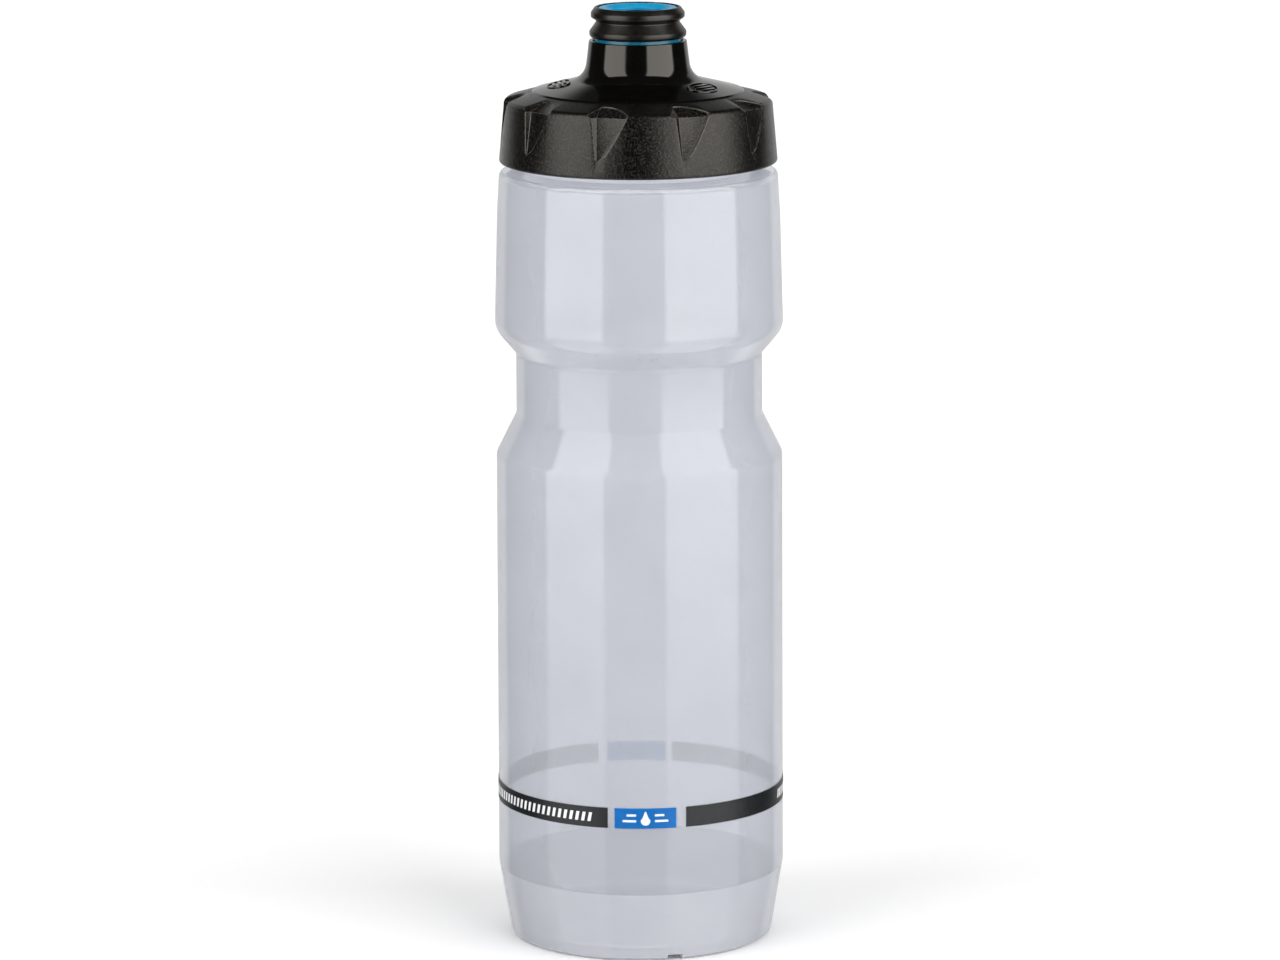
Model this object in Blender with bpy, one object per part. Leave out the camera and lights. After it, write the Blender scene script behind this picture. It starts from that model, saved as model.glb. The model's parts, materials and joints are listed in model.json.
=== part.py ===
"""Bicycle water bottle: squeeze body, screw lid with grip notches, push-pull nozzle with a slit valve.

Metres, +Z up. The origin is the centre of the base, on the surface that the bottle stands on.
Every dimension below is in millimetres, and every outline is a list of (radius, height, corner radius).
"""
import math

import bmesh
import bpy
from mathutils import Matrix, Vector

MM = 0.001
TURN = 2 * math.pi

# Facets round each turned piece, and straight pieces in each rounded corner.
BODY_FACETS = 48
NOZZLE_FACETS = 36
CORNER_STEPS = 2

# Body: a straight cylinder with a waist groove, a tapered base and a slightly domed shoulder.
WALL = 1.2
FOOT_R = 33.9
FOOT_FLAT = 3.6
BASE_RECESS = 1.6
FLOOR_THICK = 1.4
BASE_TAPER_TOP = 18.6
BODY_R = 37.0
WAIST_R = 31.6
WAIST_BOTTOM = 136.9
WAIST_TOP = 152.7
GROOVE_BOTTOM = 126.5
GROOVE_TOP = 159.1
UPPER_MID = 188.4
UPPER_MID_R = 36.2
SHOULDER_R = 35.6
SHOULDER_Z = 199.4
VENT_WIDTH = 4.0
VENT_HEIGHT = 1.3
VENT_AZIMUTH = 14.8

# Neck and its thread.
NECK_R = 29.6
NECK_FOOT_Z = 200.4
NECK_WALL = 1.4
NECK_TOP = 210.9
PITCH = 4.0
THREAD_DEPTH = 1.3
THREAD_ROOT_WIDTH = 2.0
THREAD_CREST_WIDTH = 0.8
THREAD_SINK = 0.5
THREAD_FADE = 6
NECK_THREAD_Z = 203.0
NECK_THREAD_TURNS = 1.5
LID_THREAD_TURNS = 1.75
FIT_GAP = 0.35

# Lid: tapered skirt, conical deck and a flared tower.
LID_BOTTOM = 201.8
SKIRT_BOTTOM_R = 35.6
SKIRT_TOP_R = 34.2
DECK_APEX_Z = 226.95
DECK_SLOPE = 0.263
DECK_THICK = 1.8
SEAT_Z = 212.6
PLUG_WALL_R = NECK_R - NECK_WALL - FIT_GAP
PLUG_WALL = 1.45
PLUG_WALL_BOTTOM = 208.0
TOWER_TOP = 232.9
TOWER_RIM_R = 12.45
TOWER_FOOT_R = 13.6
TOWER_FLARE = 5.0
TUBE_R = 13.5
TUBE_BOTTOM = 213.4
BORE_R = 11.95
STOP_LIP_R = 11.5
STOP_LIP_BOTTOM = 229.5

# Grip notches round the lid: a scoop that widens from a low apex up to a shelf just below the deck.
# Outlines are (radius, azimuth) pairs: two points outside the lid, and a curve inside it.
NOTCH_COUNT = 10
NOTCH_AZIMUTH = 18.0
NOTCH_APEX = (35.0, 206.0, 0.5)
NOTCH_BEND_Z = 217.0
NOTCH_BEND_SIDES = ((37.5, -6.1), (38.5, 24.7))
NOTCH_BEND = ((33.1, -0.3), (32.9, 7.2), (34.4, 13.6))
NOTCH_BACK_SIDES = ((37.5, -2.9), (38.0, 17.0))
NOTCH_BACK = ((28.9, -0.6), (28.4, 8.4), (34.2, 14.0))
NOTCH_OUTER = (45.0, 9.0)
NOTCH_BACK_STEP = 0.35
NOTCH_CLEAR_Z = 222.0
NOTCH_STEPS = 4

# Gasket between the neck's lip and the lid's seat.
GASKET_GAP = 0.3

# Nozzle: slider tube, seal, grip, membrane and its ring.
CORE_BOTTOM = 218.9
CORE_FLANGE_R = 11.6
SEAL_GROOVE = (220.2, 222.2)
SEAL_GROOVE_R = 10.4
STOP_BEAD_R = 11.8
STOP_BEAD_TOP = 223.5
CORE_NECK_R = 11.05
CORE_STEP_Z = 234.3
CORE_WAIST_R = 9.2
CORE_HEAD_R = 10.0
CORE_HEAD_Z = 239.6
CORE_TOP = 240.2
CORE_BORE_R = 8.3
VALVE_SEAT = (226.0, 227.8)
VALVE_SEAT_R = 5.2
LEDGE = (237.6, 238.4)
LEDGE_R = 7.0
SEAL_R = 11.75
SMALL_GAP = 0.3
GRIP_BOTTOM = 233.6
GRIP_LOWER_R = 12.35
GRIP_LOWER_Z = 234.6
GRIP_GROOVE_R = 10.2
GRIP_GROOVE_Z = 237.8
GRIP_UPPER_R = 11.95
GRIP_UPPER_Z = 239.4
GRIP_TOP = 241.4
GRIP_TOP_R = 10.9
MEMBRANE_THICK = 0.7
MEMBRANE_DIP = 1.0
SLIT_LENGTH = 8.0
SLIT_WIDTH = 0.25
RING_TOP = 241.2
RING_INNER_R = 7.2

# Shut-off plug: a pin with a mushroom head, held by spokes in a ring.
PIN_R = 2.6
PIN_HEAD_R = 4.9
PIN_HEAD = (226.1, 228.2)
PIN_HUB_R = 3.4
PLUG_RING = (213.6, 216.6)
PLUG_RING_R = BORE_R - SMALL_GAP
PLUG_RING_WALL = 1.4
SPOKE_COUNT = 3
SPOKE_WIDTH = 2.2


# ---- outlines and solids

def deck_height(radius):
    """Height of the lid's conical deck at a radius."""
    return DECK_APEX_Z - DECK_SLOPE * radius


def rounded(corners, steps=CORNER_STEPS):
    """Return the (radius, height) points of a closed outline, each corner rounded to its own radius."""
    points = []
    for index, (radius, height, fillet) in enumerate(corners):
        here = Vector((radius, height))
        if fillet <= 0:
            points.append(here)
            continue
        to_last = (Vector(corners[index - 1][:2]) - here).normalized()
        to_next = (Vector(corners[(index + 1) % len(corners)][:2]) - here).normalized()
        half = to_last.angle(to_next) / 2
        centre = here + (to_last + to_next).normalized() * fillet / math.sin(half)
        spoke = here + to_last * fillet / math.tan(half) - centre
        sweep = math.pi - 2 * half
        if to_last.cross(to_next) > 0:
            sweep = -sweep
        for step in range(steps + 1):
            turn = Matrix.Rotation(sweep * step / steps, 2)
            points.append(centre + turn @ spoke)
    return points


def new_object(name, mesh_data):
    """Turn a bmesh, in metres, into an object with outward faces."""
    bmesh.ops.recalc_face_normals(mesh_data, faces=mesh_data.faces)
    mesh = bpy.data.meshes.new(name)
    mesh_data.to_mesh(mesh)
    mesh_data.free()
    mesh.shade_smooth()
    mesh.set_sharp_from_angle(angle=math.radians(30))
    piece = bpy.data.objects.new(name, mesh)
    bpy.context.scene.collection.objects.link(piece)
    return piece


def turned(name, corners, facets):
    """Turn a closed outline about Z. A point on the axis becomes a single vertex."""
    mesh_data = bmesh.new()
    rings = []
    for radius, height in rounded(corners):
        on_axis = radius < 1e-6
        ring = []
        for index in range(1 if on_axis else facets):
            angle = TURN * index / facets
            place = Vector((radius * math.cos(angle), radius * math.sin(angle), height)) * MM
            ring.append(mesh_data.verts.new(place))
        rings.append(ring * facets if on_axis else ring)
    for lower, upper in zip(rings, rings[1:] + rings[:1]):
        for index in range(facets):
            after = (index + 1) % facets
            corners_of_face = [lower[index], lower[after], upper[after], upper[index]]
            face = list(dict.fromkeys(corners_of_face))
            if len(face) > 2:
                mesh_data.faces.new(face)
    return new_object(name, mesh_data)


def helix_ridge(name, root_r, crest_r, start_z, start_angle, turns):
    """Make a right-handed thread ridge that fades into its wall at both ends.

    Its sections stand half a facet away from the wall's own edges, so that the two meet cleanly.
    """
    outward = 1 if crest_r > root_r else -1
    sunk_r = root_r - outward * THREAD_SINK
    steps = round(turns * BODY_FACETS)
    mesh_data = bmesh.new()
    sections = []
    for step in range(steps + 1):
        fade = min(1, step / THREAD_FADE, (steps - step) / THREAD_FADE)
        top_r = root_r - outward * THREAD_SINK / 2
        top_r += (crest_r - top_r) * fade
        turned_by = (step + 0.5) / BODY_FACETS
        angle = start_angle + TURN * turned_by
        middle = start_z + PITCH * turned_by
        low = middle - THREAD_ROOT_WIDTH / 2
        high = middle + THREAD_ROOT_WIDTH / 2
        crest = THREAD_CREST_WIDTH / 2
        section = []
        for radius, height in ((sunk_r, low), (top_r, middle - crest), (top_r, middle + crest), (sunk_r, high)):
            place = Vector((radius * math.cos(angle), radius * math.sin(angle), height)) * MM
            section.append(mesh_data.verts.new(place))
        sections.append(section)
    for last, following in zip(sections, sections[1:]):
        for side in range(4):
            after = (side + 1) % 4
            mesh_data.faces.new([last[side], last[after], following[after], following[side]])
    mesh_data.faces.new(sections[0])
    mesh_data.faces.new(sections[-1])
    return new_object(name, mesh_data)


def boxes(name, places, size):
    """Make equal boxes, one for each matrix, in a single object. Size is in millimetres."""
    mesh_data = bmesh.new()
    for place in places:
        shape = bmesh.ops.create_cube(mesh_data, size=MM)
        bmesh.ops.scale(mesh_data, vec=size, verts=shape["verts"])
        bmesh.ops.transform(mesh_data, matrix=place, verts=shape["verts"])
    return new_object(name, mesh_data)


def combine(piece, other, operation):
    """Join another solid to a piece, or cut it away, and keep the other one hidden."""
    modifier = piece.modifiers.new(other.name, "BOOLEAN")
    modifier.operation = operation
    modifier.solver = "EXACT"
    modifier.object = other
    other.hide_render = True
    other.display_type = "WIRE"


def placed(azimuth, radius, height):
    """Matrix of a place at an azimuth from -Y towards +X, in degrees, with its Y axis pointing inwards."""
    turn = Matrix.Rotation(math.radians(azimuth), 4, "Z")
    return turn @ Matrix.Translation(Vector((0, -radius, height)) * MM)


# ---- materials

def material(name, colour, roughness, transmission=0.0):
    """Make a Principled material."""
    result = bpy.data.materials.new(name)
    result.use_nodes = True
    shader = result.node_tree.nodes["Principled BSDF"]
    shader.inputs["Base Color"].default_value = (*colour, 1.0)
    shader.inputs["Roughness"].default_value = roughness
    shader.inputs["Metallic"].default_value = 0.0
    shader.inputs["Transmission Weight"].default_value = transmission
    return result


# ---- pieces

def body_corners():
    """Closed outline of the squeeze body, from the centre of the base up the outside and down the inside."""
    neck_inner = NECK_R - NECK_WALL
    recess_r = FOOT_R - FOOT_FLAT
    floor = BASE_RECESS + FLOOR_THICK
    outside = [
        (0, BASE_RECESS, 0),
        (recess_r - 1.6, BASE_RECESS, 0),
        (recess_r, 0, 0),
        (FOOT_R, 0, 1.2),
        (BODY_R, BASE_TAPER_TOP, 8.0),
        (BODY_R - 0.2, GROOVE_BOTTOM, 4.0),
        (WAIST_R, WAIST_BOTTOM, 2.0),
        (WAIST_R, WAIST_TOP, 2.0),
        (BODY_R, GROOVE_TOP, 6.0),
        (UPPER_MID_R, UPPER_MID, 0),
        (SHOULDER_R, SHOULDER_Z, 1.4),
        (NECK_R, NECK_FOOT_Z, 0.8),
        (NECK_R, NECK_TOP, 0.5),
    ]
    inside = [
        (neck_inner, NECK_TOP, 0),
        (neck_inner, NECK_FOOT_Z - WALL, 0),
        (SHOULDER_R - WALL, SHOULDER_Z - WALL, 0),
        (UPPER_MID_R - WALL, UPPER_MID, 0),
        (BODY_R - WALL, GROOVE_TOP, 4.8),
        (WAIST_R - WALL, WAIST_TOP, 0),
        (WAIST_R - WALL, WAIST_BOTTOM, 0),
        (BODY_R - 0.2 - WALL, GROOVE_BOTTOM, 0),
        (BODY_R - WALL, BASE_TAPER_TOP, 0),
        (FOOT_R - WALL + 0.4, floor, 1.5),
        (0, floor, 0),
    ]
    return outside + inside


def make_body():
    body = turned("bottle_body", body_corners(), BODY_FACETS)
    thread = helix_ridge("neck_thread_form", NECK_R, NECK_R + THREAD_DEPTH, NECK_THREAD_Z, 0, NECK_THREAD_TURNS)
    combine(body, thread, "UNION")
    places = [placed(VENT_AZIMUTH + turn, FOOT_R - FOOT_FLAT / 2, 0) for turn in (0, 180)]
    vents = boxes("foot_vent_form", places, (VENT_WIDTH, FOOT_FLAT * 2.5, VENT_HEIGHT * 2))
    combine(body, vents, "DIFFERENCE")
    body.data.materials.append(material("translucent_body", (0.60, 0.62, 0.66), 0.25, 0.6))


def lid_corners():
    """Closed outline of the lid, up the skirt, over the deck and tower, and back down its inside."""
    root_r = NECK_R + THREAD_DEPTH + FIT_GAP
    plug_inner = PLUG_WALL_R - PLUG_WALL
    return [
        (root_r + 0.6, LID_BOTTOM, 0),
        (SKIRT_BOTTOM_R, LID_BOTTOM, 0.6),
        (SKIRT_TOP_R, deck_height(SKIRT_TOP_R), 1.6),
        (TOWER_FOOT_R, deck_height(TOWER_FOOT_R), TOWER_FLARE),
        (TOWER_RIM_R, TOWER_TOP, 0.3),
        (STOP_LIP_R, TOWER_TOP, 0.3),
        (STOP_LIP_R, STOP_LIP_BOTTOM, 0),
        (BORE_R, STOP_LIP_BOTTOM, 0),
        (BORE_R, TUBE_BOTTOM, 0),
        (TUBE_R, TUBE_BOTTOM, 0),
        (TUBE_R, deck_height(TUBE_R) - DECK_THICK, 0),
        (plug_inner, deck_height(plug_inner) - DECK_THICK, 0),
        (plug_inner, PLUG_WALL_BOTTOM, 0),
        (PLUG_WALL_R, PLUG_WALL_BOTTOM, 0),
        (PLUG_WALL_R, SEAT_Z, 0),
        (root_r, SEAT_Z, 0),
        (root_r, LID_BOTTOM + 0.8, 0),
    ]


def notch_outline(sides, ends, height):
    """A notch's outline at one level: a curve inside the lid between two points outside it, closed far outside."""
    first, middle, last = (placed(turn, radius, 0).translation for radius, turn in ends)
    start, end, outer = (placed(turn, radius, 0).translation for radius, turn in (*sides, NOTCH_OUTER))
    points = []
    for step in range(NOTCH_STEPS + 1):
        share = step / NOTCH_STEPS
        place = first * (1 - share) ** 2 + middle * 2 * share * (1 - share) + last * share ** 2
        points.append(Vector((place.x, place.y, height(place.length / MM) * MM)))
    start.z = points[0].z
    end.z = outer.z = points[-1].z
    return [start] + points + [end, outer]


def notch_form():
    """One cutter for each notch: a scoop from a low apex, a shelf at the deck, and a low step at the back."""
    apex_r, apex_z, apex_turn = NOTCH_APEX
    apex = placed(apex_turn, apex_r, apex_z).translation
    outlines = [
        notch_outline(NOTCH_BEND_SIDES, NOTCH_BEND, lambda radius: NOTCH_BEND_Z),
        notch_outline(NOTCH_BACK_SIDES, NOTCH_BACK, lambda radius: deck_height(radius) - NOTCH_BACK_STEP),
        notch_outline(NOTCH_BACK_SIDES, NOTCH_BACK, lambda radius: NOTCH_CLEAR_Z),
    ]
    mesh_data = bmesh.new()
    for index in range(NOTCH_COUNT):
        turn = Matrix.Rotation(math.radians(NOTCH_AZIMUTH + index * 360 / NOTCH_COUNT), 3, "Z")
        lowest, middle, top = ([mesh_data.verts.new(turn @ point) for point in outline] for outline in outlines)
        tip = mesh_data.verts.new(turn @ apex)
        for first, second in zip(lowest, lowest[1:] + lowest[:1]):
            mesh_data.faces.new([first, second, tip])
        for lower, upper in ((lowest, middle), (middle, top)):
            around = zip(lower, lower[1:] + lower[:1], upper, upper[1:] + upper[:1])
            for low, low_next, high, high_next in around:
                mesh_data.faces.new([low, low_next, high_next])
                mesh_data.faces.new([low, high_next, high])
        mesh_data.faces.new(top)
    bmesh.ops.triangulate(mesh_data, faces=[face for face in mesh_data.faces if len(face.verts) > 4])
    return new_object("lid_notch_form", mesh_data)


def make_lid():
    lid = turned("lid_cap", lid_corners(), BODY_FACETS)
    root_r = NECK_R + THREAD_DEPTH + FIT_GAP
    # Half a turn further round at the same height puts the lid's ridge midway between the neck's.
    thread = helix_ridge("lid_thread_form", root_r, root_r - THREAD_DEPTH, NECK_THREAD_Z, math.pi, LID_THREAD_TURNS)
    combine(lid, thread, "UNION")
    combine(lid, notch_form(), "DIFFERENCE")
    lid.data.materials.append(material("black_lid", (0.012, 0.012, 0.012), 0.35))


def make_gasket():
    bottom = NECK_TOP + GASKET_GAP
    top = SEAT_Z - GASKET_GAP
    inner = PLUG_WALL_R + GASKET_GAP
    outer = NECK_R + THREAD_DEPTH
    corners = [(inner, bottom, 0), (outer, bottom, 0), (outer, top, 0), (inner, top, 0)]
    gasket = turned("lid_gasket", corners, BODY_FACETS)
    gasket.data.materials.append(material("seal_silicone", (0.75, 0.75, 0.75), 0.5))


def make_plug():
    middle = (PLUG_RING[0] + PLUG_RING[1]) / 2
    low = PLUG_RING[0] - 0.3
    pin_corners = [
        (0, low, 0),
        (PIN_HUB_R, low, 0),
        (PIN_HUB_R, PLUG_RING[1] + 0.3, 0),
        (PIN_R, PLUG_RING[1] + 1.5, 0),
        (PIN_R, PIN_HEAD[0] - 2.0, 0),
        (PIN_HEAD_R, PIN_HEAD[0], 0),
        (PIN_HEAD_R, PIN_HEAD[1], 0.6),
        (0, PIN_HEAD[1], 0),
    ]
    ring_inner = PLUG_RING_R - PLUG_RING_WALL
    ring_corners = [
        (ring_inner, PLUG_RING[0], 0),
        (PLUG_RING_R, PLUG_RING[0], 0),
        (PLUG_RING_R, PLUG_RING[1], 0),
        (ring_inner, PLUG_RING[1], 0),
    ]
    plug = turned("shutoff_plug", pin_corners, NOZZLE_FACETS)
    combine(plug, turned("plug_ring_form", ring_corners, NOZZLE_FACETS), "UNION")
    start = PIN_HUB_R - 1
    length = PLUG_RING_R - PLUG_RING_WALL / 2 - start
    places = [placed(index * 360 / SPOKE_COUNT, start + length / 2, middle) for index in range(SPOKE_COUNT)]
    spokes = boxes("plug_spoke_form", places, (SPOKE_WIDTH, length, PLUG_RING[1] - PLUG_RING[0] - 0.6))
    combine(plug, spokes, "UNION")
    plug.data.materials.append(material("black_plug", (0.015, 0.015, 0.015), 0.4))


def make_core():
    corners = [
        (CORE_BORE_R, CORE_BOTTOM, 0),
        (CORE_FLANGE_R, CORE_BOTTOM, 0.4),
        (CORE_FLANGE_R, SEAL_GROOVE[0], 0),
        (SEAL_GROOVE_R, SEAL_GROOVE[0], 0),
        (SEAL_GROOVE_R, SEAL_GROOVE[1], 0),
        (STOP_BEAD_R, SEAL_GROOVE[1], 0),
        (STOP_BEAD_R, STOP_BEAD_TOP, 0),
        (CORE_NECK_R, STOP_BEAD_TOP, 0),
        (CORE_NECK_R, CORE_STEP_Z, 0),
        (CORE_WAIST_R, CORE_STEP_Z, 0),
        (CORE_WAIST_R, CORE_HEAD_Z - 0.8, 0),
        (CORE_HEAD_R, CORE_HEAD_Z, 0),
        (CORE_HEAD_R, CORE_TOP, 0),
        (CORE_BORE_R, CORE_TOP, 0),
        (CORE_BORE_R, LEDGE[1], 0),
        (LEDGE_R, LEDGE[1], 0),
        (LEDGE_R, LEDGE[0], 0),
        (CORE_BORE_R, LEDGE[0] - 0.8, 0),
        (CORE_BORE_R, VALVE_SEAT[1] + 1.0, 0),
        (VALVE_SEAT_R, VALVE_SEAT[1], 0),
        (VALVE_SEAT_R, VALVE_SEAT[0], 0),
        (CORE_BORE_R, VALVE_SEAT[0] - 1.0, 0),
    ]
    core = turned("nozzle_core", corners, NOZZLE_FACETS)
    core.data.materials.append(material("blue_core", (0.0, 0.22, 0.55), 0.35))


def make_seal():
    low = SEAL_GROOVE[0] + SMALL_GAP
    high = SEAL_GROOVE[1] - SMALL_GAP
    middle = (low + high) / 2
    inner = SEAL_GROOVE_R + 0.15
    bulge = (SEAL_R + inner) / 2
    corners = [(inner, middle, 0), (bulge, low, 0), (SEAL_R, middle, 0), (bulge, high, 0)]
    seal = turned("nozzle_seal", corners, NOZZLE_FACETS)
    seal.data.materials.append(material("seal_rubber", (0.02, 0.02, 0.02), 0.6))


def make_grip():
    inner_low = CORE_NECK_R + SMALL_GAP
    inner_waist = CORE_WAIST_R + SMALL_GAP
    inner_head = CORE_HEAD_R + SMALL_GAP
    corners = [
        (inner_low, GRIP_BOTTOM, 0),
        (GRIP_LOWER_R, GRIP_BOTTOM, 0.9),
        (GRIP_LOWER_R, GRIP_LOWER_Z + 0.6, 0.6),
        (GRIP_GROOVE_R, GRIP_GROOVE_Z, 0.3),
        (GRIP_UPPER_R, GRIP_UPPER_Z - 0.6, 0.4),
        (GRIP_UPPER_R, GRIP_UPPER_Z + 0.6, 0.8),
        (GRIP_TOP_R, GRIP_TOP, 0.5),
        (inner_head, GRIP_TOP, 0),
        (inner_head, CORE_HEAD_Z - 0.1, 0),
        (inner_waist, CORE_HEAD_Z - 0.9, 0),
        (inner_waist, CORE_STEP_Z + SMALL_GAP, 0),
        (inner_low, CORE_STEP_Z + SMALL_GAP, 0),
    ]
    grip = turned("nozzle_grip", corners, NOZZLE_FACETS)
    grip.data.materials.append(material("soft_grip", (0.02, 0.018, 0.018), 0.5))


def make_membrane():
    outer = CORE_BORE_R - SMALL_GAP
    low = LEDGE[1] + 0.25
    high = low + MEMBRANE_THICK
    flat = RING_INNER_R - 0.6
    corners = [
        (0, low - MEMBRANE_DIP, 0),
        (flat * 0.55, low - MEMBRANE_DIP * 0.7, 0),
        (flat - 0.7, low, 0),
        (outer, low, 0),
        (outer, high, 0),
        (flat, high, 0),
        (flat * 0.55, high - MEMBRANE_DIP * 0.7, 0),
        (0, high - MEMBRANE_DIP, 0),
    ]
    membrane = turned("valve_membrane", corners, NOZZLE_FACETS)
    places = [placed(turn, 0, low) for turn in (45, 135)]
    for index, place in enumerate(places):
        slit = boxes(f"membrane_slit_form_{index}", [place], (SLIT_LENGTH, SLIT_WIDTH, 6))
        combine(membrane, slit, "DIFFERENCE")
    membrane.data.materials.append(material("blue_silicone", (0.0, 0.26, 0.55), 0.4))


def make_ring():
    skirt_outer = CORE_BORE_R - SMALL_GAP
    skirt_bottom = LEDGE[1] + 0.25 + MEMBRANE_THICK + 0.25
    corners = [
        (RING_INNER_R, skirt_bottom, 0),
        (skirt_outer, skirt_bottom, 0),
        (skirt_outer, CORE_TOP + SMALL_GAP, 0),
        (CORE_HEAD_R, CORE_TOP + SMALL_GAP, 0),
        (CORE_HEAD_R, RING_TOP, 0.25),
        (RING_INNER_R + 1.4, RING_TOP, 0),
        (RING_INNER_R, RING_TOP - 1.0, 0),
    ]
    ring = turned("membrane_ring", corners, NOZZLE_FACETS)
    ring.data.materials.append(material("blue_ring", (0.0, 0.24, 0.55), 0.35))


def build():
    for old in list(bpy.data.objects):
        bpy.data.objects.remove(old)
    make_body()
    make_lid()
    make_gasket()
    make_plug()
    make_core()
    make_seal()
    make_grip()
    make_membrane()
    make_ring()


build()
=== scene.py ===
"""Looks of the bicycle water bottle: fine meshes, materials, soft studio light and camera.

Metres, +Z up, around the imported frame. Dimensions are in millimetres and scaled by MM when a mesh is made.
Outlines are lists of (radius, height, corner radius), turned about Z.
"""
import json
import math

import bmesh
import bpy
from mathutils import Matrix, Vector

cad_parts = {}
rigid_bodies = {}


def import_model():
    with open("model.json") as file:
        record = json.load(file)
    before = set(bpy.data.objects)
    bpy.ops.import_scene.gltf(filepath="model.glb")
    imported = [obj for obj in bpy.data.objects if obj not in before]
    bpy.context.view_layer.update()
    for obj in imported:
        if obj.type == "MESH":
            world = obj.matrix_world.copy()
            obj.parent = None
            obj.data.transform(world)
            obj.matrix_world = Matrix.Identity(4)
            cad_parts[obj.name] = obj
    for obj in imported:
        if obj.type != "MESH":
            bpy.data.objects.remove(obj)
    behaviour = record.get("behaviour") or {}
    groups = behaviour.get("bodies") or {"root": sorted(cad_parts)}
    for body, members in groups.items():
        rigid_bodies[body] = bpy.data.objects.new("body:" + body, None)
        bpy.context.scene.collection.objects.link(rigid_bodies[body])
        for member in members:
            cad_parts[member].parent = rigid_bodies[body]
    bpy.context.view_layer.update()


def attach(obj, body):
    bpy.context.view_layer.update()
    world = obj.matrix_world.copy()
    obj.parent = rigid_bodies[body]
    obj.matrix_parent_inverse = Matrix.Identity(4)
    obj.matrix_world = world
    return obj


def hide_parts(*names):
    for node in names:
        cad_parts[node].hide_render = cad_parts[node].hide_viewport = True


MM = 0.001
TURN = 2 * math.pi

# ---- camera: a long lens slightly above the bottle, looking down at it. Place in metres, turns in degrees.
CAMERA_PLACE = (0.0001, -1.4946, 0.4110)
CAMERA_PITCH = 11.062
CAMERA_ROLL = 0.23
CAMERA_LENS = 166.04
SENSOR_WIDTH = 36.0

# ---- studio, in metres: azimuths in degrees from the front, + to the right, and elevations in degrees
# Softboxes and backdrop: azimuth low, high, elevation low, high, strength. Blurs: azimuth, elevation.
PANELS = ((-81, -29, -70, 46, 3.3), (21, 86, -70, 46, 3.5))
PANEL_BLUR = (2.5, 2)
BACKDROP = (137, 223, -90, 27, 0.61)
BACKDROP_BLUR = (6, 5)
# Share of the softboxes' strength below and above, and the elevations between which it changes.
PANEL_FADE = (0.3, 1.0, -13, -8.5)
# Light from steeply below: lowest and highest elevation, blur, strength.
BELOW = (-120, -34, 8, 0.8)
# Strength of the dark rest of the studio, and of the white that the camera itself sees.
SURROUND = 0.035
SEEN_DIRECTLY = 1.0
OVERHEAD_PLACE = (0, 0.6, 4)
OVERHEAD_SIZE = 5
OVERHEAD_POWER = 150
FLOOR_REACH = 12
FLOOR_Z = -0.0002

# ---- materials
PLASTIC_IOR = 1.38
# Tint of the highlights on the warm blacks.
WARM = (1.0, 0.95, 0.86, 1.0)
# Material slots after the first, on the body and on the lid.
NECK_SLOT = 1
FOOT_SLOT = 2
SATIN_SLOT = 1
GLOSS_SLOT = 2
WEAR_AND_SHEEN_SLOT = 3

# ---- mesh resolution, with angles in degrees
BODY_FACETS = 256
LID_FACETS = 240
NOZZLE_FACETS = 128
CORNER_STEPS = 8
SMOOTH_ANGLE = 15
BEVEL_SEGMENTS = 2
BEVELLED_ANGLE = 40
ON_AXIS = 1e-6

# ---- body
WALL = 1.2
FOOT_R = 33.9
FOOT_FLAT = 3.6
BASE_RECESS = 1.6
RECESS_BEVEL = 1.6
FLOOR_THICK = 1.4
FLOOR_SPREAD = 0.4
BASE_TAPER_TOP = 18.6
BODY_R = 37.0
LOWER_TOP_R = BODY_R - 0.2
GROOVE_BOTTOM = 126.5
WAIST_R = 31.6
WAIST_BOTTOM = 136.9
WAIST_TOP = 152.7
GROOVE_TOP = 159.1
UPPER_MID = 188.4
UPPER_MID_R = 36.2
SHOULDER_R = 35.6
SHOULDER_Z = 199.4
VENT_WIDTH = 4.0
VENT_HEIGHT = 1.3
VENT_AZIMUTH = 14.8

# ---- neck and thread
NECK_R = 29.6
NECK_FOOT_Z = 200.4
NECK_WALL = 1.4
NECK_TOP = 210.9
PITCH = 4.0
THREAD_DEPTH = 1.3
THREAD_ROOT_WIDTH = 2.0
THREAD_CREST_WIDTH = 0.8
THREAD_SINK = 0.5
THREAD_FADE_TURN = 0.125
NECK_THREAD_Z = 203.0
NECK_THREAD_TURNS = 1.5
LID_THREAD_TURNS = 1.75
FIT_GAP = 0.35

# ---- lid
LID_BOTTOM = 201.8
SKIRT_BOTTOM_R = 35.6
SKIRT_TOP_R = 34.2
DECK_APEX_Z = 226.95
DECK_SLOPE = 0.263
DECK_THICK = 1.8
DISC_R = 26.6
DISC_STEP = 0.3
SEAT_Z = 212.6
PLUG_WALL_R = NECK_R - NECK_WALL - FIT_GAP
PLUG_WALL = 1.45
PLUG_WALL_BOTTOM = 208.0
TOWER_TOP = 232.9
TOWER_RIM_R = 12.45
TOWER_FOOT_R = 13.6
TOWER_FLARE = 5.0
TUBE_R = 13.5
TUBE_BOTTOM = 213.4
BORE_R = 11.95
STOP_LIP_R = 11.5
STOP_LIP_BOTTOM = 229.5
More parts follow.
